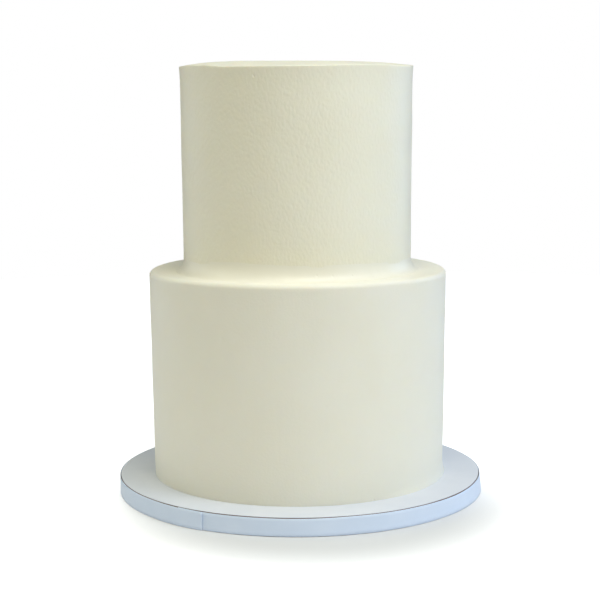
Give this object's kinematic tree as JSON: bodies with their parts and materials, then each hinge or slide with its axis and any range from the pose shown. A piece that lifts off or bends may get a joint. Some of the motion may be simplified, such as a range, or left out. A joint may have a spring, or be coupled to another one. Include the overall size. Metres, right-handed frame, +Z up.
{
  "type": "tiered wedding cake",
  "caption": "Round tiered wedding cake in plain smooth cream icing, standing on its round cake board with a paper strip round the edge.",
  "frame": {"origin": "centre of the cake board's underside, on the surface that the cake stands on", "axes": "+Z up through the tiers; -Y is the front that the picture shows; +X is to the right seen from the front"},
  "size_m": [0.2555, 0.2544, 0.2995],
  "materials": {
    "cream_icing": "satin",
    "board_paper": "matte",
    "strip_paper": "satin"
  },
  "bodies": {
    "root": {"cake_board": "board_paper", "edge_strip": "strip_paper", "lower_tier": "cream_icing", "upper_tier": "cream_icing", "joint_icing": "cream_icing"}
  },
  "joints": []
}
